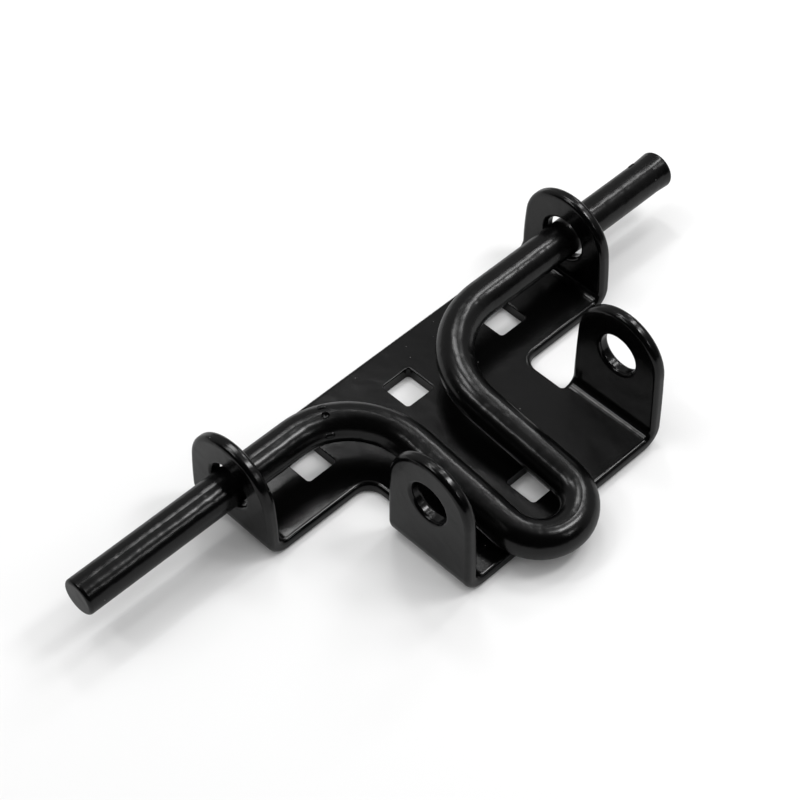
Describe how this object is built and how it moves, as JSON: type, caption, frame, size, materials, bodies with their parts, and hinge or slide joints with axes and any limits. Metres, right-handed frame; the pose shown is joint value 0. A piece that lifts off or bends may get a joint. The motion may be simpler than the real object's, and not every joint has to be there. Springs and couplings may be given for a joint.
{
  "type": "slide bolt gate latch",
  "caption": "Padlockable gate latch: bent round slide bolt with a loop handle, carried in the eyed ears of a folded steel bracket with square bolt holes and padlock lugs.",
  "frame": {"origin": "centre of the middle square bolt hole, on the bracket's mounting face", "axes": "+X along the bolt from its long locking end to its tail, +Y towards the bracket's straight back edge, +Z away from the mounting face"},
  "size_m": [0.2581, 0.1036, 0.0474],
  "materials": {
    "bracket_coat": "gloss powder coat",
    "rod_coat": "gloss powder coat"
  },
  "bodies": {
    "bracket": {"latch_bracket": "bracket_coat"},
    "bolt": {"slide_rod": "rod_coat"}
  },
  "joints": [
    {"name": "bolt_slide", "type": "slide", "parent": "bracket", "child": "bolt", "axis": [1, 0, 0], "range_m": [-0.0102, 0.0288]}
  ]
}
